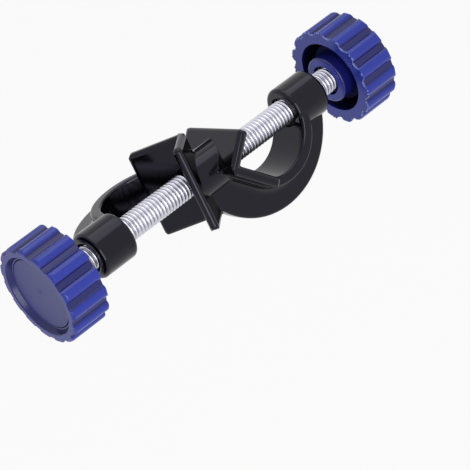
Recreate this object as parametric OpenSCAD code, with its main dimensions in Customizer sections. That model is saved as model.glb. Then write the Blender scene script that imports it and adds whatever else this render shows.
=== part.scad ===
// Boss head clamp: one casting with two V jaws back to back, their grooves at
// right angles, an arm with a screw boss on each, and a knob screw in each boss.
// X runs along both screws, Z along the groove of the stand rod jaw and Y along
// the groove of the cross rod jaw. The origin is on the root line of the stand
// rod jaw, where the screw axis meets it.

/* [V jaws] */
// length of each groove along its rod
jaw_width = 27.2; // [22:0.2:40]
// inner face of the free wing, from the root
short_wing = 10.4; // [7:0.1:14]
// inner face of the wing that carries the arm
long_wing = 15.5; // [11:0.1:18]
// thickness of the wings
wing_thick = 2.8; // [2.5:0.1:3.4]
// thickness from the root to the flat ridge behind it
ridge_thick = 2.6; // [2:0.1:3.4]
// distance between the two root lines
root_gap = 7.54; // [6:0.02:12]
// rounding of a wing's corners, seen square to the wing
corner_r = 1.8; // [0.5:0.1:3]
// rounding of a wing's edges at the two ends of the groove
edge_r = 0.8; // [0.2:0.05:1.2]
// rounding of a wing's tip, seen along the groove
tip_round = 1.2; // [0.2:0.05:1.2]
// fillet along the root
root_fillet = 0.9; // [0.3:0.1:2]

/* [Core between the jaws] */
// radius of the neck that joins the jaws
core_r = 7.1; // [5:0.1:10]
// how far one quarter of it lies back, at the parting line of the mould
core_step = 0.6; // [0:0.1:1.5]

/* [Arms] */
// root line to the inner end of the screw boss
reach = 29.5; // [24:0.1:40]
// thickness of the flange round the opening, at the boss
flange_thick = 3.5; // [2:0.1:5]
// how far the middle of its outer arc lies below the screw axis
flange_drop = 1; // [0:0.1:1.5]
// width of the flange
flange_width = 14.25; // [8:0.05:14.6]
// rounding of the flange's edges
flange_round = 0.75; // [0.2:0.05:1.2]
// draft of the opening: how far its radius grows towards the near side, and shrinks
// towards the far side
draft = 0.35; // [0:0.05:0.4]
// how far the flange stands proud of the long wing's outer face
pad = 0.3; // [0.05:0.05:0.5]
// thickness of the web that stiffens the flange
web_thick = 5; // [2:0.1:8]
// fillet between flange and web
web_fillet = 2.9; // [0.5:0.1:4]
// depth of the web's rim below the screw axis
web_depth = 24; // [19:0.1:32]
// rounding of the web's rim
rim_r = 0.9; // [0.2:0.1:2]

/* [Screw bosses] */
// outer radius
boss_r = 7.35; // [7.2:0.05:10]
// length along the screw
boss_len = 12.35; // [8:0.05:18]
// rounding of the outer edges
boss_round = 1.2; // [0.2:0.1:2]
// radius of the counterbore at each end of the thread
mouth_r = 4.8; // [4.5:0.1:6]
// depth of that counterbore
mouth_depth = 1.4; // [0.5:0.1:3]

/* [Clamp screws] */
// radius over the thread
screw_r = 3.9; // [3:0.05:5]
// radial play of the thread in its boss
screw_play = 0.05; // [0.02:0.01:0.1]
// length left outside the boss when the tip is at the root line
screw_spare = 8.07; // [6:0.01:20]
// length of the bevel at the tip
tip_bevel = 0.8; // [0.3:0.1:2]
// width of the hexagon head across its flats
head_flats = 13; // [11:0.1:15]
// height of the head
head_height = 5.3; // [4:0.1:7]
// how far the stand rod screw stands back from the walls of its V
stand_gap = 0.4; // [0.1:0.05:15]
// how far the cross rod screw stands back from the walls of its V
cross_gap = 1.51; // [0.1:0.01:15]

/* [Knobs] */
// radius over the lobes
knob_r = 15.7; // [13.5:0.05:22]
// height of the grip
knob_height = 12.74; // [10.5:0.01:16]
// number of lobes
lobes = 15; // [8:1:24]
// radius of a lobe
lobe_r = 2.3; // [1.5:0.1:4]
// how far the flutes lie below the lobes
flute_depth = 1.3; // [0.5:0.05:2.5]
// rounding of the front edge
front_round = 1.1; // [0.3:0.1:2]
// rounding of the back edge
back_round = 0.5; // [0.2:0.1:1.5]
// wall of the rim round the hollow back, below the flutes
rim_wall = 2.9; // [1.5:0.1:4]
// front plate between the cap and the hollow back
plate_thick = 2.2; // [1.2:0.1:4]
// radius of the hub's collar
collar_r = 7.5; // [6:0.1:9]
// how far the collar stands out of the back
collar_out = 1.9; // [0:0.1:4]
// radius of the countersunk mouth of the hub
hub_mouth_r = 4.9; // [4.2:0.1:6]
// depth of that mouth
hub_mouth_depth = 2.6; // [1:0.1:4]
// wall of the hub round the corners of the screw head
head_wall = 1.7; // [0.8:0.1:2.5]
// play of the screw head and shank in the hub
hub_play = 0.05; // [0.02:0.01:0.15]
// turn of the stand rod knob about its screw
stand_turn = 15.7; // [0:0.1:45]
// turn of the cross rod knob about its screw
cross_turn = 2.7; // [0:0.1:45]

/* [Knob caps] */
// radius of the cap
cap_r = 11.2; // [9:0.1:14]
// thickness of the cap at its edge
cap_thick = 1.3; // [0.8:0.1:2]
// depth of the dish in its face
cap_dish = 0.35; // [0:0.05:0.8]
// play of the cap in its seat
cap_play = 0.08; // [0.03:0.01:0.2]
// depth of the recess in front of the cap
recess_depth = 1.8; // [1:0.1:3]
// width of the sloping ledge between the cap and the face ring
ledge = 1.5; // [0.8:0.1:2.5]
// height and half width of the bead round the cap
bead = 0.35; // [0.1:0.05:0.5]

/* [Hidden] */
$fn = 96;
big = 90;
root = root_gap / 2;                     // root line from the centre of the casting
diag = sqrt(2);
tip_x = root + long_wing / diag;         // where the long wing ends
tip_z = long_wing / diag;
boss_in = root + reach;                  // the two ends of a boss
boss_out = boss_in + boss_len;
// arc of the opening: through the long wing's tip, and square to the screw axis
// just inside the boss
arc_end = boss_in + 0.2;
arc_x = (arc_end * arc_end - tip_x * tip_x - tip_z * tip_z) / (2 * (arc_end - tip_x));
arc_in = arc_end - arc_x;
under_x = root - wing_thick * diag;      // where the wings' outer faces would meet
ridge_x = root - ridge_thick;            // flat ridge of the V
// arc of the flange's under side: it runs on from a pad on the wing's outer face and
// ends at the given thickness in the boss
under_m = boss_in + flange_thick - under_x - flange_drop + pad * diag;
under_r = under_m * diag - sqrt(under_m * under_m - flange_drop * flange_drop);
under_c = (under_r - pad) * diag + under_x + flange_drop;
under_run = under_r + diag * flange_drop; // its straight run, up to the V's ridge
// rim of the web: a circle through the boss, the lowest point and the end of the core
rim = circle_through([boss_out - boss_round, -boss_r + 0.6], [arc_x, -web_depth],
                     [-ridge_x / 2, -jaw_width / 2]);
clip_x = root - ridge_thick / 2;         // mid-thickness of the V's ridge
sink = 0.05;                             // how far a fillet runs into the faces it joins
graze = 0.01;                            // how far a rounding runs out past the face it meets
flute_r = knob_r - flute_depth;
cavity_r = flute_r - rim_wall;
head_r = head_flats / sqrt(3);           // over the corners of the hexagon
hub_r = head_r + head_wall;
seat_z = knob_height - recess_depth - cap_thick + bead; // floor under the cap
head_z = seat_z - head_height;           // under side of the head
hub_top = head_z - 1.2;                  // shoulder of the hub in the hollow back
screw_len = reach + boss_len + screw_spare;             // below the head
tip_r = screw_r - tip_bevel;
stand_knob = root + tip_r + stand_gap + screw_len - head_z;
cross_knob = root + tip_r + cross_gap + screw_len - head_z;

// centre x, centre y and radius of the circle through three points
function circle_through(p, q, s) = let(
    d = 2 * (p.x * (q.y - s.y) + q.x * (s.y - p.y) + s.x * (p.y - q.y)),
    pp = p * p, qq = q * q, ss = s * s,
    cx = (pp * (q.y - s.y) + qq * (s.y - p.y) + ss * (p.y - q.y)) / d,
    cy = (pp * (s.x - q.x) + qq * (p.x - s.x) + ss * (q.x - p.x)) / d)
    [cx, cy, norm([p.x - cx, p.y - cy])];

// swaps the cross rod side for the stand rod side: half a turn about a diagonal
module other_side() { rotate(a = 180, v = [0, 1, -1]) children(); }

// moves from the centre of the casting to the origin
module placed() { translate([root, 0, 0]) children(); }

// a drawing in the XZ plane, thickened evenly along Y
module along_y(width) { rotate([90, 0, 0]) linear_extrude(width, center = true) children(); }

// a profile turned about X, drawn with its axis upright
module about_x() { rotate([0, 90, 0]) rotate_extrude() children(); }

module rounded(size_x, size_y, r) {
    for (x = [r, size_x - r], y = [r, size_y - r]) translate([x, y]) circle(r);
    translate([r, 0]) square([size_x - 2 * r, size_y]);
    translate([0, r]) square([size_x, size_y - 2 * r]);
}

// section of a wing, root at the origin, its inner face along X
module wing_section(len) {
    translate([-wing_thick, 0]) square([len + wing_thick - tip_round, wing_thick]);
    translate([len - 3 * tip_round, 0]) rounded(3 * tip_round, wing_thick, tip_round);
}

// outline of a wing, seen square to it
module wing_outline(len) {
    half = jaw_width / 2;
    translate([-wing_thick - 1, -half]) square([len + wing_thick + 1 - corner_r, jaw_width]);
    translate([len - 3 * corner_r, -half]) rounded(3 * corner_r, jaw_width, corner_r);
}

module wing(len) {
    rotate([0, -45, 0]) intersection() {
        along_y(jaw_width + 2) wing_section(len);
        translate([0, 0, -1]) linear_extrude(wing_thick + 2) wing_outline(len);
        translate([-wing_thick - 1, -jaw_width / 2, 0]) rotate([90, 0, 90])
            linear_extrude(len + wing_thick + 2) rounded(jaw_width, wing_thick, edge_r);
    }
}

module v_jaw() {
    intersection() {
        translate([root, 0, 0]) {
            wing(short_wing);
            mirror([0, 0, 1]) wing(long_wing);
            along_y(jaw_width - 2 * edge_r) rotate(-45) difference() {
                translate([-0.4, -0.4]) square(root_fillet + 0.4);
                translate([root_fillet, root_fillet]) circle(root_fillet);
            }
        }
        translate([ridge_x, -big / 2, -big / 2]) cube(big);
    }
}

// everything on the open side of the middle of the V's walls
module v_space() {
    translate([clip_x, 0, 0]) rotate([0, 45, 0]) translate([0, -big / 2, 0]) cube(big);
}

// T section of the arm: flange above Y 0, fillets and the top of the web below it
module t_section(top) {
    half = flange_width / 2;
    web = web_thick / 2 - sink;
    translate([-top, -half]) square([top - flange_round, flange_width]);
    translate([-top, -half + flange_round]) square([top, flange_width - 2 * flange_round]);
    for (y = [-1, 1]) translate([-flange_round, y * (half - flange_round)]) circle(flange_round);
    translate([-1, -web]) square([web_fillet + 1.5, 2 * web]);
    for (s = [0, 1]) mirror([0, s]) difference() {
        translate([-1, 0]) square([web_fillet + 1 - sink, web + web_fillet]);
        translate([web_fillet - sink, web + web_fillet]) circle(web_fillet);
    }
}

// a profile turned round the flange's own arc, from the foot of the wing to the boss
module round_arm() {
    translate([under_c, 0, -flange_drop]) rotate([90, 0, 0]) rotate([0, 0, -135])
        rotate_extrude(angle = 135) translate([under_r, 0]) children();
}

// the same profile run straight along the outer face of the wing, up to its ridge
module along_wing() {
    translate([under_c, 0, -flange_drop]) rotate([0, 135, 0])
        translate([under_r, 0, -under_run]) linear_extrude(under_run) children();
}

module flange() {
    difference() {
        round_arm() t_section(2 * flange_thick);
        // opening: a cone whose near edge is eased
        far = [arc_in - draft, -flange_width / 2 - 1];
        near = [arc_in + draft + flange_round, flange_width / 2 - flange_round + graze];
        span = norm(near - far);
        slope = atan2(near.y - far.y, near.x - far.x) + asin(flange_round / span);
        run = sqrt(span * span - flange_round * flange_round);
        translate([arc_x, 0, 0]) rotate([90, 0, 0]) rotate_extrude() difference() {
            polygon([[0, far.y], far, far + run * [cos(slope), sin(slope)], near,
                     [near.x, big], [0, big]]);
            translate(near) circle(flange_round);
        }
    }
    along_wing() t_section(1);
}

// flat web: a rounded disc less what lies above the middle of the flange
module web() {
    intersection() {
        translate([rim[0], 0, rim[1]]) rotate([90, 0, 0]) rotate_extrude() intersection() {
            translate([-rim[2], -web_thick / 2]) rounded(2 * rim[2], web_thick, rim_r);
            translate([0, -big / 2]) square(big);
        }
        union() {
            round_arm() translate([-1, -big / 2]) square(big);
            along_wing() translate([-1, -big / 2]) square(big);
        }
        translate([-big + boss_out - boss_round, -big / 2, -big]) cube(big);
    }
}

module arm() {
    difference() {
        union() { flange(); web(); }
        other_side() v_space();
    }
}

module boss() {
    translate([boss_in, 0, 0]) about_x() difference() {
        translate([-boss_r, 0]) rounded(2 * boss_r, boss_len, boss_round);
        translate([-big, -big / 2]) square([big, big]);
    }
}

// tapped hole and its two counterbores, as cut out of a boss
module boss_hole() {
    translate([boss_in, 0, 0]) rotate([0, 90, 0]) {
        translate([0, 0, -5]) cylinder(h = boss_len + 10, r = screw_r + screw_play);
        translate([0, 0, -5]) cylinder(h = 5 + mouth_depth, r = mouth_r);
        translate([0, 0, boss_len - mouth_depth]) cylinder(h = 5, r = mouth_r);
    }
}

module core() {
    difference() {
        union() {
            rotate([0, 90, 0]) cylinder(h = 40, r = core_r - core_step, center = true);
            difference() {
                rotate([0, 90, 0]) cylinder(h = 40, r = core_r, center = true);
                translate([-big / 2, -big, 0]) cube(big);
            }
        }
        v_space();
        other_side() v_space();
    }
}

// on the cross rod side, and again on the stand rod side
module both() { children(); other_side() children(); }

module cast_body() {
    color([0.07, 0.07, 0.08]) placed() difference() {
        union() {
            union() { core(); both() v_jaw(); }
            both() arm();
            both() boss();
        }
        both() boss_hole();
    }
}

// screw with its tip down and the under side of its head at head_z
module screw() {
    translate([0, 0, head_z]) cylinder(h = head_height, r = head_r, $fn = 6);
    translate([0, 0, head_z - screw_len]) rotate_extrude()
        polygon([[0, 0], [tip_r, 0], [screw_r, tip_bevel],
                 [screw_r, screw_len + 1], [0, screw_len + 1]]);
}

module lobed_outline() {
    circle(flute_r);
    for (i = [0 : lobes - 1]) rotate(i * 360 / lobes)
        translate([knob_r - lobe_r, 0]) circle(lobe_r);
}

// limits of the grip, with its rounded edges
module grip_limits() {
    difference() {
        union() {
            translate([-knob_r - 1, back_round])
                square([2 * knob_r + 2, knob_height - back_round - front_round]);
            translate([-knob_r, 0]) rounded(2 * knob_r, 3 * back_round, back_round);
            translate([-knob_r, knob_height - 3 * front_round])
                rounded(2 * knob_r, 3 * front_round, front_round);
        }
        translate([-big, -big / 2]) square(big);
    }
}

// hollow knob, back edge at Z 0 and face at knob_height
module knob() {
    difference() {
        union() {
            difference() {
                intersection() {
                    linear_extrude(knob_height) lobed_outline();
                    rotate_extrude() grip_limits();
                }
                translate([0, 0, -1]) cylinder(h = 1 + seat_z - plate_thick, r = cavity_r);
            }
            translate([0, 0, hub_top]) cylinder(h = seat_z - plate_thick - hub_top + 0.5, r = hub_r);
            translate([0, 0, -collar_out]) rotate_extrude() difference() {
                translate([-collar_r, 0]) rounded(2 * collar_r, collar_out + hub_top + 2, 0.7);
                translate([-big, -big / 2]) square(big);
            }
        }
        // seat of the cap, bead round it, sloping ledge and open recess
        rotate_extrude() difference() {
            polygon([[0, seat_z], [cap_r + cap_play, seat_z],
                     [cap_r + cap_play, knob_height - recess_depth],
                     [cap_r + cap_play + 2 * bead, knob_height - recess_depth],
                     [cap_r + ledge, knob_height - 0.2], [cap_r + ledge + 0.2, knob_height],
                     [cap_r + ledge + 0.2, knob_height + 1], [0, knob_height + 1]]);
            translate([cap_r + cap_play + bead, knob_height - recess_depth]) circle(bead);
        }
        translate([0, 0, head_z]) cylinder(h = big, r = head_r + hub_play * 2 / sqrt(3), $fn = 6);
        translate([0, 0, -collar_out - 1]) cylinder(h = big, r = screw_r + hub_play);
        translate([0, 0, -collar_out]) rotate_extrude()
            polygon([[0, -1], [hub_mouth_r, -1], [hub_mouth_r, hub_mouth_depth - 1],
                     [screw_r, hub_mouth_depth], [0, hub_mouth_depth]]);
    }
}

// cap that closes the front of a knob over the screw head
module cap() {
    dish = (cap_r * cap_r + cap_dish * cap_dish) / (2 * cap_dish);
    translate([0, 0, seat_z + cap_play / 2]) rotate_extrude() difference() {
        intersection() {
            translate([-cap_r, -1]) rounded(2 * cap_r, cap_thick + 1, 0.3);
            square([cap_r + 1, cap_thick + 1]);
        }
        intersection() {
            translate([0, cap_thick + dish - cap_dish]) circle(dish, $fn = 720);
            translate([-1, 0]) square([cap_r + 0.5, cap_thick + 1]);
        }
    }
}

// a knob's pieces at the stand rod jaw and at the cross rod jaw, each turned on its screw
module at_stand() {
    placed() other_side() translate([stand_knob, 0, 0]) rotate([0, 90, 0]) rotate(stand_turn)
        children();
}
module at_cross() {
    placed() translate([cross_knob, 0, 0]) rotate([0, 90, 0]) rotate(cross_turn) children();
}

module left_screw() { color([0.78, 0.79, 0.82]) at_stand() screw(); }
module right_screw() { color([0.78, 0.79, 0.82]) at_cross() screw(); }
module left_knob() { color([0.15, 0.18, 0.62]) at_stand() knob(); }
module right_knob() { color([0.15, 0.18, 0.62]) at_cross() knob(); }
module left_cap() { color([0.25, 0.27, 0.6]) at_stand() cap(); }
module right_cap() { color([0.25, 0.27, 0.6]) at_cross() cap(); }

cast_body();
left_screw();
right_screw();
left_knob();
right_knob();
left_cap();
right_cap();
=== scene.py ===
import math
import random

import bmesh
import bpy
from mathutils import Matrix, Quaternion, Vector


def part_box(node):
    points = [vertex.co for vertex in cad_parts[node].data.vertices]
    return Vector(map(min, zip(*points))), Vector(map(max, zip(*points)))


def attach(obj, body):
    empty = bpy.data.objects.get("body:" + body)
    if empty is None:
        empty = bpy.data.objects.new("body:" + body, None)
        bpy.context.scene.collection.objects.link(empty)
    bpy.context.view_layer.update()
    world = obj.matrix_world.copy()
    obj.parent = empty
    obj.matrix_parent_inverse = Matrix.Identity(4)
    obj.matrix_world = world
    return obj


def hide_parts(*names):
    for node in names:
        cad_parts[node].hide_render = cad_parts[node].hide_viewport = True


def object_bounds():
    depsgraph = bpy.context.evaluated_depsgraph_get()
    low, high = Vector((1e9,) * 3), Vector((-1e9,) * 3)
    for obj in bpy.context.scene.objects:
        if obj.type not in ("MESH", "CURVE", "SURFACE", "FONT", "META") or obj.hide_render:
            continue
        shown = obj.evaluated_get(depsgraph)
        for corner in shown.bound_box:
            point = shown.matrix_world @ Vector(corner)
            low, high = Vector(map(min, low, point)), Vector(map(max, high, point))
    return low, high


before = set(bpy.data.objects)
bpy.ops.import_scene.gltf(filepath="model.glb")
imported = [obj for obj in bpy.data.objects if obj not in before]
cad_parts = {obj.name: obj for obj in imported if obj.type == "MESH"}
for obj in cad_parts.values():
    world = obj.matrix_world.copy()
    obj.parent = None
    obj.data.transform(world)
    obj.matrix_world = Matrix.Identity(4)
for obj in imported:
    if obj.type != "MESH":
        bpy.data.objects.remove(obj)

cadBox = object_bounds()
mm = 0.001
print("frame loaded:", len(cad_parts), "nodes")


# Shader sheets: a Wire is a socket that adds, multiplies and so on by making Math nodes

class Wire:
    def __init__(self, sheet, socket):
        self.sheet, self.socket = sheet, socket

    def math(self, operation, first, second=0.0):
        return self.sheet.node("ShaderNodeMath", {"operation": operation}, {0: first, 1: second})

    def __add__(self, other):
        return self.math("ADD", self, other)

    def __sub__(self, other):
        return self.math("SUBTRACT", self, other)

    def __rsub__(self, other):
        return self.math("SUBTRACT", other, self)

    def __mul__(self, other):
        return self.math("MULTIPLY", self, other)

    def __pow__(self, other):
        return self.math("POWER", self, other)

    __radd__ = __add__
    __rmul__ = __mul__

    def size(self):
        return self.math("ABSOLUTE", self)

    def sign(self):
        return self.math("SIGN", self)

    def above(self, other):  # 1 where it is larger
        return self.math("GREATER_THAN", self, other)

    def between(self, low, high):  # 1 there, 0 elsewhere
        return self.above(low) * (1 - self.above(high))

    def step(self, low, high):  # smooth ramp from 0 at low to 1 at high
        return self.sheet.node("ShaderNodeMapRange", {"interpolation_type": "SMOOTHSTEP"},
                               {"Value": self, "From Min": low, "From Max": high})


class Sheet:
    def __init__(self, owner):
        owner.use_nodes = True
        self.tree = owner.node_tree
        self.tree.nodes.clear()

    def node(self, kind, settings=None, inputs=None, output=0):
        made = self.tree.nodes.new(kind)
        for name, value in (settings or {}).items():
            setattr(made, name, value)
        for name, value in (inputs or {}).items():
            if isinstance(value, Wire):
                self.tree.links.new(value.socket, made.inputs[name])
            else:
                made.inputs[name].default_value = value
        return Wire(self, made.outputs[output]) if made.outputs else None

    def blend(self, amount, first, second):  # between two colours
        return self.node("ShaderNodeMix", {"data_type": "RGBA"},
                         {"Factor": amount, 6: first, 7: second}, 2)

    def blendVectors(self, amount, first, second):
        return self.node("ShaderNodeMix", {"data_type": "VECTOR"},
                         {"Factor": amount, 4: first, 5: second}, 1)

    def parts(self, vector):
        return [self.node("ShaderNodeSeparateXYZ", None, {"Vector": vector}, axis)
                for axis in range(3)]

    def place(self):
        return self.node("ShaderNodeTexCoord", output=3)

    def millimetres(self):
        return self.parts(self.node("ShaderNodeVectorMath", {"operation": "SCALE"},
                                    {0: self.place(), "Scale": 1 / mm}))

    def facing(self):
        return self.parts(self.node("ShaderNodeNewGeometry", output=1))

    def grain(self, scale, detail, stretch=None):
        where = self.place()
        if stretch:
            where = self.node("ShaderNodeMapping", None, {"Vector": where, "Scale": stretch})
        return self.node("ShaderNodeTexNoise", None, {
            "Vector": where, "Scale": scale, "Detail": detail})

    def bump(self, height, distance, strength, under=None):
        inputs = {"Height": height, "Distance": distance, "Strength": strength}
        if under:
            inputs["Normal"] = under
        return self.node("ShaderNodeBump", None, inputs)

    def easedEdges(self, radius):
        return self.node("ShaderNodeBevel", {"samples": 8}, {"Radius": radius})

    def surface(self, shader, target="ShaderNodeOutputMaterial"):
        self.node(target, None, {"Surface": shader})

    def principled(self, inputs):
        self.surface(self.node("ShaderNodeBsdfPrincipled", None, inputs))


def colour(parts):
    return (*parts, 1)


def newMaterial(name):
    material = bpy.data.materials.new(name)
    return material, Sheet(material)


def addObject(name, data):
    made = bpy.data.objects.new(name, data)
    bpy.context.scene.collection.objects.link(made)
    return made


# Studio: camera, floor, world and lamps
studio = {
    "azimuth": -30.23, "elevation": 21.04, "roll": -26.0,  # degrees
    "aim": (0.07 * mm, -6.30 * mm, -18.99 * mm),
    "distance": 625.4 * mm,
    "lens": 166.1, "sensor": 36,
    "clip": (0.01, 50),
    "floorDrop": 330 * mm,      # floor below the lowest point of the clamp
    "floorSize": 12.0,
    "floorColour": (0.86, 0.86, 0.86),
    "floorWhite": 0.93,         # share of plain white; the rest is lit, and keeps the shadow
    "white": (1, 1, 1),
    "fill": 0.36,               # even light from all round
    "lamps": [                  # direction it comes from, distance, width, height, strength
        {"name": "window", "azimuth": -19, "elevation": -3, "distance": 0.6, "width": 0.34,
         "height": 0.54, "power": 2.3},
        {"name": "overhead", "azimuth": 60, "elevation": 75, "distance": 0.7, "width": 0.6,
         "height": 0.6, "power": 1.4},
    ],
}


def aimAt(thing, target, setting, roll=0):  # azimuth from the front, towards the right
    azimuth, elevation = math.radians(setting["azimuth"]), math.radians(setting["elevation"])
    towards = Vector((math.sin(azimuth) * math.cos(elevation),
                      -math.cos(azimuth) * math.cos(elevation), math.sin(elevation)))
    thing.location = target + towards * setting["distance"]
    thing.rotation_mode = "QUATERNION"
    thing.rotation_quaternion = (towards.to_track_quat("Z", "Y")
                                 @ Quaternion((0, 0, 1), math.radians(roll)))


def addCamera():
    camera = addObject("camera", bpy.data.cameras.new("camera"))
    aimAt(camera, Vector(studio["aim"]), studio, studio["roll"])
    camera.data.lens, camera.data.sensor_width = studio["lens"], studio["sensor"]
    camera.data.clip_start, camera.data.clip_end = studio["clip"]
    bpy.context.scene.camera = camera


def seenOrMirrored(sheet):  # 1 for rays from the camera, mirrors and glass
    seen, mirrored, through = [sheet.node("ShaderNodeLightPath", output=name) for name in
                               ("Is Camera Ray", "Is Glossy Ray", "Is Transmission Ray")]
    return sheet.node("ShaderNodeClamp", None, {"Value": seen + mirrored + through})


def addWorld():
    world = bpy.data.worlds.new("studio")
    bpy.context.scene.world = world
    sheet = Sheet(world)
    fill, white = [sheet.node("ShaderNodeBackground", None, {
        "Color": colour(studio["white"]), "Strength": strength})
        for strength in (studio["fill"], 1.0)]
    mixed = sheet.node("ShaderNodeMixShader", None, {0: seenOrMirrored(sheet), 1: fill, 2: white})
    sheet.surface(mixed, "ShaderNodeOutputWorld")


def addFloor():
    lowest = cadBox[0][2] - studio["floorDrop"]
    half = studio["floorSize"] / 2
    mesh = bpy.data.meshes.new("floor")
    corners = [(x * half, y * half, lowest) for x, y in ((-1, -1), (1, -1), (1, 1), (-1, 1))]
    mesh.from_pydata(corners, [], [(0, 1, 2, 3)])
    floor = addObject("floor", mesh)
    material, sheet = newMaterial("floorPaper")
    lit = sheet.node("ShaderNodeBsdfDiffuse", None, {"Color": colour(studio["floorColour"])})
    white = sheet.node("ShaderNodeEmission", None, {
        "Color": colour(studio["white"]), "Strength": 1.0})
    sheet.surface(sheet.node("ShaderNodeMixShader", None, {
        0: seenOrMirrored(sheet) * studio["floorWhite"], 1: lit, 2: white}))
    mesh.materials.append(material)


def addLamps():
    middle = (cadBox[0] + cadBox[1]) / 2
    for lamp in studio["lamps"]:
        light = bpy.data.lights.new(lamp["name"], "AREA")
        light.shape = "RECTANGLE"
        light.size, light.size_y = lamp["width"], lamp["height"]
        light.energy = lamp["power"]
        shown = addObject(lamp["name"], light)
        shown.visible_camera = False
        aimAt(shown, middle, lamp)


bpy.context.scene.view_settings.view_transform = "Standard"
addCamera()
addWorld()
addFloor()
addLamps()
print("studio ready")


# Casting: glossy black enamel that rounds the edges it covers
casting = {
    "black": (0.0008, 0.0008, 0.0010),
    "worn": (0.0016, 0.0016, 0.0022),
    "sheen": (0.80, 0.77, 1.0),  # faint blue of its gloss
    "refraction": 1.40,
    "roughness": 0.07,
    "uneven": 0.07,             # how much rougher it is in patches
    "patchScale": 220,
    "edgeRadius": 0.4 * mm,
    "wingThick": 2.8,           # millimetres, as are the next three
    "jawWidth": 27.2,
    "rootGap": 7.54,
    "margin": 0.1,              # how far off a wing's faces the rounding still counts
    "peelScale": 2600,          # orange peel in the enamel
    "peelHeight": 0.012 * mm,
    "peelStrength": 0.35,
}


def roundedWings(sheet, normal):
    # the two ends of each V are fully rounded: there the normal points away from a line
    # half a thickness inside the wing
    half = casting["wingThick"] / 2
    start = casting["jawWidth"] / 2 - half
    middle = casting["rootGap"] / 2
    slant = math.sqrt(0.5)      # the wings stand at 45 degrees
    x, y, z = sheet.millimetres()
    faceX, faceY, faceZ = sheet.facing()
    wings = ((-1, 0, y, faceY, z), (1, casting["rootGap"], z, faceZ, y))    # left, right
    for sense, root, across, faceAcross, along in wings:
        inside = (across.size() - (x - root) * sense) * slant - half
        tip = (faceX * sense + across.sign() * faceAcross) * slant * half
        outwards = (tip - inside) * (slant * sense)
        sideways = across.sign() * (inside + tip) * slant
        endways = along.sign() * (along.size() - start)
        spread = (endways, sideways) if sense > 0 else (sideways, endways)
        rounded = sheet.node("ShaderNodeCombineXYZ", None, dict(enumerate((outwards, *spread))))
        rounded = sheet.node("ShaderNodeVectorMath", {"operation": "NORMALIZE"}, {0: rounded})
        there = (along.size().above(start) * ((x - middle) * sense).above(0)
                 * (half + casting["margin"] - inside.size()).above(0))
        normal = sheet.blendVectors(there, normal, rounded)
    return normal


def enamelMaterial():
    material, sheet = newMaterial("enamel")
    cloud = sheet.grain(casting["patchScale"], 3)
    peel = sheet.grain(casting["peelScale"], 1)
    eased = roundedWings(sheet, sheet.easedEdges(casting["edgeRadius"]))
    sheet.principled({
        "Base Color": sheet.blend(cloud, colour(casting["black"]), colour(casting["worn"])),
        "Roughness": casting["roughness"] + cloud * casting["uneven"],
        "Normal": sheet.bump(peel, casting["peelHeight"], casting["peelStrength"], eased),
        "IOR": casting["refraction"],
        "Specular Tint": colour(casting["sheen"])})
    return material


def dress(name, material):
    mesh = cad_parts[name].data
    mesh.materials.clear()
    mesh.materials.append(material)


dress("cast_body", enamelMaterial())
print("casting dressed")


def smoothMesh(form, name, material):
    bmesh.ops.recalc_face_normals(form, faces=form.faces[:])
    mesh = bpy.data.meshes.new(name)
    form.to_mesh(mesh)
    form.free()
    for face in mesh.polygons:
        face.use_smooth = True
    mesh.materials.append(material)
    return mesh


# Screws: rolled thread under bright zinc, with the hexagon head that the knob hides
screw = {
    "radius": 3.9 * mm,         # over the thread
    "pitch": 1.25 * mm,
    "depth": 0.62 * mm,
    "roundness": 2.4,           # higher is a flatter crest
    "rootFlat": 0.93,           # share of the depth where the root is cut flat
    "aroundSteps": 72,
    "alongSteps": 10,           # per turn of the thread
    "leadIn": 2.5,              # turns made before the tip, and then cut off
    "spareTurns": 5,            # turns beyond the length of the screw, lead-in among them
    "tipBevel": 0.8 * mm,
    "headFlats": 13 * mm,
    "headHeight": 5.3 * mm,
    # sections of the head: foot 0 or top 1, how far above that, share of the corners' radius
    "headSteps": [(0, 0, 0.93), (0, 0.5 * mm, 1.0), (1, -0.6 * mm, 1.0), (1, 0, 0.9)],
    "sharpEdge": 50,            # degrees
    "tolerance": 1e-7,
    "zinc": (0.74, 0.74, 0.81),
    "shade": (0.56, 0.56, 0.64),
    "valleyPaintedShade": (0.36, 0.36, 0.42),   # painted shade at the bottom of the thread
    "valleyPaintedShadeRadii": (3.26, 3.62),    # millimetres: all painted shade, and none
    "streakScale": 700, "streakStretch": (0.25, 1, 1),
    "roughness": 0.26, "uneven": 0.2,
    "grainScale": 5200, "grainHeight": 0.01 * mm, "grainStrength": 0.4,
    "startTurn": {"left": 0.0, "right": 0.4},
}


def threadRadius(turn):  # round crest and narrow root
    fromCrest = abs(2 * (turn % 1.0) - 1)
    return screw["radius"] - screw["depth"] * min(fromCrest ** screw["roundness"],
                                                  screw["rootFlat"])


def windThread(form, tip, head, sense, startTurn):  # one long strip wound round the screw
    around, along = screw["aroundSteps"], screw["alongSteps"]
    rows = int(abs(head - tip) / screw["pitch"] * along) + screw["spareTurns"] * along
    points = []
    for row in range(rows):
        for step in range(around):
            share = step / around
            place = (row / along + share - screw["leadIn"]) * screw["pitch"]
            angle = 2 * math.pi * (share + startTurn)
            radius = min(threadRadius(row / along),
                         screw["radius"] - screw["tipBevel"] + max(place, 0))
            points.append(form.verts.new((tip + sense * place, radius * math.cos(angle),
                                          sense * radius * math.sin(angle))))
    for index in range(len(points)):
        ahead = index + 1 if (index + 1) % around else index + 1 - around + around * along
        corners = (index, ahead, ahead + around, index + around)
        if max(corners) < len(points):
            form.faces.new([points[corner] for corner in corners])


def cutSquare(form, place, side):  # drops what lies past the place on that side
    everything = form.verts[:] + form.edges[:] + form.faces[:]
    bmesh.ops.bisect_plane(form, geom=everything, dist=screw["tolerance"], plane_co=(place, 0, 0),
                           plane_no=(side, 0, 0), clear_outer=True)


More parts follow.
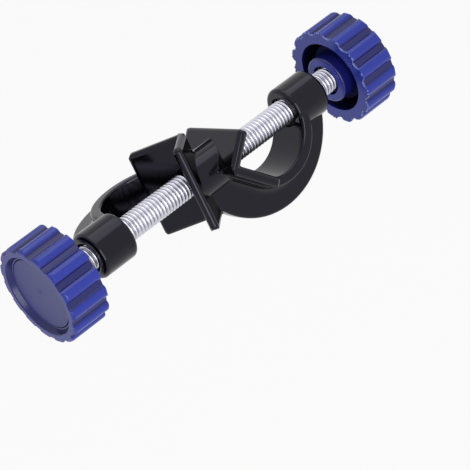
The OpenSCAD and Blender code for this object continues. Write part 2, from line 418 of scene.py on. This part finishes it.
def closeTip(form, tip):
    rim = [edge for edge in form.edges if edge.is_boundary
           and all(abs(vert.co.x - tip) < 10 * screw["tolerance"] for vert in edge.verts)]
    bmesh.ops.contextual_create(form, geom=rim)


def addHead(form, head, sense):
    rim = [edge for edge in form.edges if edge.is_boundary]
    corner = screw["headFlats"] / math.sqrt(3)
    half = math.pi / 6          # half the angle that one flat takes up
    for atTop, shift, scale in screw["headSteps"]:
        place = head + sense * (atTop * screw["headHeight"] + shift)
        grown = bmesh.ops.extrude_edge_only(form, edges=rim)["geom"]
        for vert in (part for part in grown if isinstance(part, bmesh.types.BMVert)):
            angle = math.atan2(vert.co.z, vert.co.y)
            fromCorner = (angle + half) % (2 * half) - half
            flat = corner * math.cos(half) / math.cos(half - abs(fromCorner))
            radius = min(flat, corner * scale)
            vert.co = (place, radius * math.cos(angle), radius * math.sin(angle))
        rim = [part for part in grown if isinstance(part, bmesh.types.BMEdge)
               and part.is_boundary]
    bmesh.ops.contextual_create(form, geom=rim)


def zincMaterial():
    material, sheet = newMaterial("brightZinc")
    streak = sheet.grain(screw["streakScale"], 3, screw["streakStretch"])
    fine = sheet.grain(screw["grainScale"], 2)
    y, z = sheet.millimetres()[1:]
    # painted shade: the thread darkens towards its bottom, by radius
    height = ((y * y + z * z) ** 0.5).step(*screw["valleyPaintedShadeRadii"])
    base = sheet.blend(streak, colour(screw["shade"]), colour(screw["zinc"]))
    sheet.principled({
        "Base Color": sheet.blend(height, colour(screw["valleyPaintedShade"]), base),
        "Roughness": screw["roughness"] + fine * screw["uneven"], "Metallic": 1.0,
        "Normal": sheet.bump(fine, screw["grainHeight"], screw["grainStrength"])})
    return material


def addScrew(side, sense, zinc):
    low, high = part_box(side + "_screw")
    tip, end = (high.x, low.x) if sense < 0 else (low.x, high.x)
    head = end - sense * screw["headHeight"]
    form = bmesh.new()
    windThread(form, tip, head, sense, screw["startTurn"][side])
    cutSquare(form, tip, -sense)
    cutSquare(form, head, sense)
    closeTip(form, tip)
    addHead(form, head, sense)
    bmesh.ops.dissolve_degenerate(form, dist=screw["tolerance"], edges=form.edges[:])
    mesh = smoothMesh(form, side + "Screw", zinc)
    mesh.set_sharp_from_angle(angle=math.radians(screw["sharpEdge"]))
    piece = addObject(side + "Screw", mesh)
    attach(piece, side + "_knob_screw")
    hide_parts(side + "_screw")
    print(side, "screw made:", len(mesh.polygons), "faces")


zinc = zincMaterial()
addScrew("left", -1, zinc)
addScrew("right", 1, zinc)


# Knobs: glossy moulded cobalt blue with painted shade in the flutes; matt inside the hollow back,
# with painted shade there too
knob = {
    "rib": (0.015, 0.032, 0.34),
    # painted shade: the darker blue laid into the flutes
    "flutePaintedShade": (0.008, 0.010, 0.125),
    "flutePaintedShadeRadii": (14.5, 15.35),  # millimetres: painted flute shade up to the first, plain rib colour from the second
    "endFace": 0.9,             # a face this square to the axis is coloured as a rib
    "ribShare": 0.82, "cloudShare": 0.36,
    "cloudScale": 160,
    # painted shade: near-black colour laid inside the hollow back
    "hollow": (0.004, 0.005, 0.045),
    "hollowRadii": (7.52, 11.6),    # millimetres: from the collar out to the rim's wall
    "hollowSpans": ((-57.5, -48.4), (58.4, 66.5)),  # along X, left and right
    "hollowMatt": 0.45, "hollowMetal": 0.8,     # both keep the gloss down there; the metal share takes it away as painted shade
    "refraction": 1.46,
    "roughness": 0.2, "uneven": 0.12,
    "edgeRadius": 0.22 * mm,
    "grainScale": 3800, "grainHeight": 0.008 * mm, "grainStrength": 0.3,
}


def knobMaterial():
    material, sheet = newMaterial("knobPlastic")
    cloud = sheet.grain(knob["cloudScale"], 3)
    fine = sheet.grain(knob["grainScale"], 2)
    x, y, z = sheet.millimetres()
    radius = (y * y + z * z) ** 0.5
    # painted shade: flutes take the darker blue, ribs and end faces the plain one
    rib = radius.step(*knob["flutePaintedShadeRadii"])
    endFace = sheet.facing()[0].size().above(knob["endFace"])
    outsidePaintedShade = rib + endFace - rib * endFace
    base = sheet.blend(outsidePaintedShade * (knob["ribShare"] + cloud * knob["cloudShare"]),
                       colour(knob["flutePaintedShade"]), colour(knob["rib"]))
    left, right = [x.between(*span) for span in knob["hollowSpans"]]
    # painted shade inside the hollow back, with its gloss taken off
    hollow = radius.between(*knob["hollowRadii"]) * (left + right)
    sheet.principled({
        "Base Color": sheet.blend(hollow, base, colour(knob["hollow"])),
        "Roughness": knob["roughness"] + fine * knob["uneven"] + hollow * knob["hollowMatt"],
        "Metallic": hollow * knob["hollowMetal"],
        "Normal": sheet.bump(fine, knob["grainHeight"], knob["grainStrength"],
                             sheet.easedEdges(knob["edgeRadius"])),
        "IOR": knob["refraction"]})
    return material


# Caps: satin discs over the screws' heads
cap = {
    "blue": (0.036, 0.044, 0.24),
    "pale": (0.045, 0.052, 0.27),
    "cloudScale": 120,
    "refraction": 1.42,
    "roughness": 0.32, "uneven": 0.1,
    "edgeRadius": 0.2 * mm,
    "grainScale": 6000, "grainHeight": 0.01 * mm, "grainStrength": 0.3,
}


def capMaterial():
    material, sheet = newMaterial("capPlastic")
    cloud = sheet.grain(cap["cloudScale"], 2)
    fine = sheet.grain(cap["grainScale"], 2)
    sheet.principled({
        "Base Color": sheet.blend(cloud, colour(cap["blue"]), colour(cap["pale"])),
        "Roughness": cap["roughness"] + fine * cap["uneven"], "IOR": cap["refraction"],
        "Normal": sheet.bump(fine, cap["grainHeight"], cap["grainStrength"],
                             sheet.easedEdges(cap["edgeRadius"]))})
    return material


plastic, satin = knobMaterial(), capMaterial()
for side in ("left", "right"):
    dress(side + "_knob", plastic)
    dress(side + "_cap", satin)
print("knobs dressed")


# Mould flash: thin ragged skin of plastic along the back rim of the right knob
flash = {
    "pale": (0.34, 0.42, 0.86),
    "paleScale": 900,
    "roughness": 0.4, "uneven": 0.2, "grainScale": 4000,
    "size": 0.5 * mm,           # where it stands highest
    "thinnest": 0.08 * mm,      # any lower and it has broken off
    "back": 57.37 * mm,         # back face of the rim along X
    "flatness": 0.08 * mm,      # points this near that face lie on it
    "leastRadius": 13.5 * mm,   # outside the hollow
    "steps": 1440,              # round the rim
    "seed": 7,
    "waves": 14,
    "waveRanges": ((9, 120), (0, 6.3), (0.3, 1)),   # waves round the rim, start, size
    "waveScale": 3.2,
    "level": 0.42, "swing": 0.6,
    "drift": 0.12 * mm, "driftWaves": (23, 7),
    "inner": (0.02 * mm, 0.22 * mm),    # foot on the rim: depth, and how far in from the edge
    "outer": (0.34 * mm, 0.26 * mm),    # foot beside it: depth, and how far out
    "lean": (0.55, 0.2),        # shares of its height that go back and out
}


def flashMaterial():
    material, sheet = newMaterial("mouldFlash")
    sheet.principled({
        "Base Color": sheet.blend(sheet.grain(flash["paleScale"], 2), colour(knob["rib"]),
                                  colour(flash["pale"])),
        "Roughness": flash["roughness"] + sheet.grain(flash["grainScale"], 2) * flash["uneven"]})
    return material


def rimOutline():  # radius of the lobed rim at each degree, on its back face
    reach = [0.0] * 360
    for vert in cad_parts["right_knob"].data.vertices:
        if abs(vert.co.x - flash["back"]) < flash["flatness"]:
            degree = int(math.degrees(math.atan2(vert.co.z, vert.co.y))) % 360
            reach[degree] = max(reach[degree], math.hypot(vert.co.y, vert.co.z))
    known = [degree for degree in range(360) if reach[degree] > flash["leastRadius"]]
    outline = []
    for degree in range(360):
        after = min(known, key=lambda place: (place - degree) % 360)
        before = min(known, key=lambda place: (degree - place) % 360)
        span = (after - before) % 360 or 1
        share = (degree - before) % 360 / span
        outline.append(reach[before] + (reach[after] - reach[before]) * share)
    return outline


def flashSection(radius, angle, height):  # inner foot, crest and outer foot
    back = flash["back"]
    first, second = flash["driftWaves"]
    drift = flash["drift"] * math.sin(first * angle + 1) * math.sin(second * angle)
    (innerDepth, innerReach), (outerDepth, outerReach) = flash["inner"], flash["outer"]
    leanBack, leanOut = flash["lean"]
    return [(back + innerDepth, radius - innerReach + drift),
            (back - height * leanBack, radius + height * leanOut + drift),
            (back + outerDepth, radius + outerReach)]


def addFlash():
    outline = rimOutline()
    chance = random.Random(flash["seed"])
    waves = [[chance.uniform(*bounds) for bounds in flash["waveRanges"]]
             for _ in range(flash["waves"])]
    form = bmesh.new()
    previous = None
    for step in range(flash["steps"]):
        degree = step * 360 / flash["steps"]
        angle = math.radians(degree)
        here, share = int(degree), degree % 1
        radius = outline[here] * (1 - share) + outline[(here + 1) % 360] * share
        ripple = sum(size * math.sin(round(speed) * angle + start)
                     for speed, start, size in waves) / flash["waveScale"]
        height = min(max(flash["level"] + ripple * flash["swing"], 0), 1) * flash["size"]
        if height < flash["thinnest"]:
            previous = None
            continue
        row = [form.verts.new((x, out * math.cos(angle), out * math.sin(angle)))
               for x, out in flashSection(radius, angle, height)]
        if previous:
            for one, two in ((0, 1), (1, 2), (2, 0)):
                form.faces.new((previous[one], previous[two], row[two], row[one]))
        else:
            form.faces.new(row)
        previous = row
    mesh = smoothMesh(form, "rightKnobFlash", flashMaterial())
    piece = addObject("rightKnobFlash", mesh)
    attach(piece, "right_knob_screw")
    print("mould flash made:", len(mesh.polygons), "faces")


addFlash()
